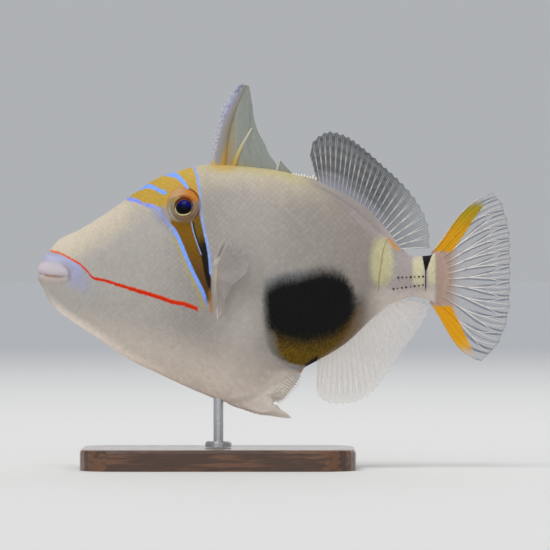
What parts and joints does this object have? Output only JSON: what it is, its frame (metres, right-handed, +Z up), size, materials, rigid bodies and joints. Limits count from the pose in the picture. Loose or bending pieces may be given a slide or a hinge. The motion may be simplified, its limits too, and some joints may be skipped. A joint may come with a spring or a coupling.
{
  "type": "blackbelly triggerfish model",
  "caption": "Life-size triggerfish with a raised spiny dorsal fin and spread fins, held by a short rod on a flat rounded base.",
  "frame": {"origin": "middle of the bounding box, at the underside of the stand's base", "axes": "+X from the snout to the tail, -Y out of the fish's left side, +Z up"},
  "size_m": [0.18, 0.064, 0.1474],
  "materials": {
    "skin": "satin scaled skin",
    "lip": "satin bare skin",
    "fin": "clear fin web with paler rays",
    "spine_fin": "satin bone and web",
    "tail_fin": "clear fin web with orange bars",
    "eye": "wet gloss",
    "stand_wood": "satin dark wood",
    "stand_steel": "brushed"
  },
  "bodies": {
    "root": {"anal_fin": "fin", "belly_flap": "skin", "caudal_fin": "tail_fin", "eye_left": "eye", "eye_right": "eye", "head": "skin", "lower_lip": "lip", "pectoral_fin_left": "fin", "pectoral_fin_right": "fin", "soft_dorsal_fin": "fin", "spiny_dorsal_fin": "spine_fin", "stand_base": "stand_wood", "stand_rod": "stand_steel", "tail_stalk": "skin", "trunk": "skin", "upper_lip": "lip"}
  },
  "joints": []
}
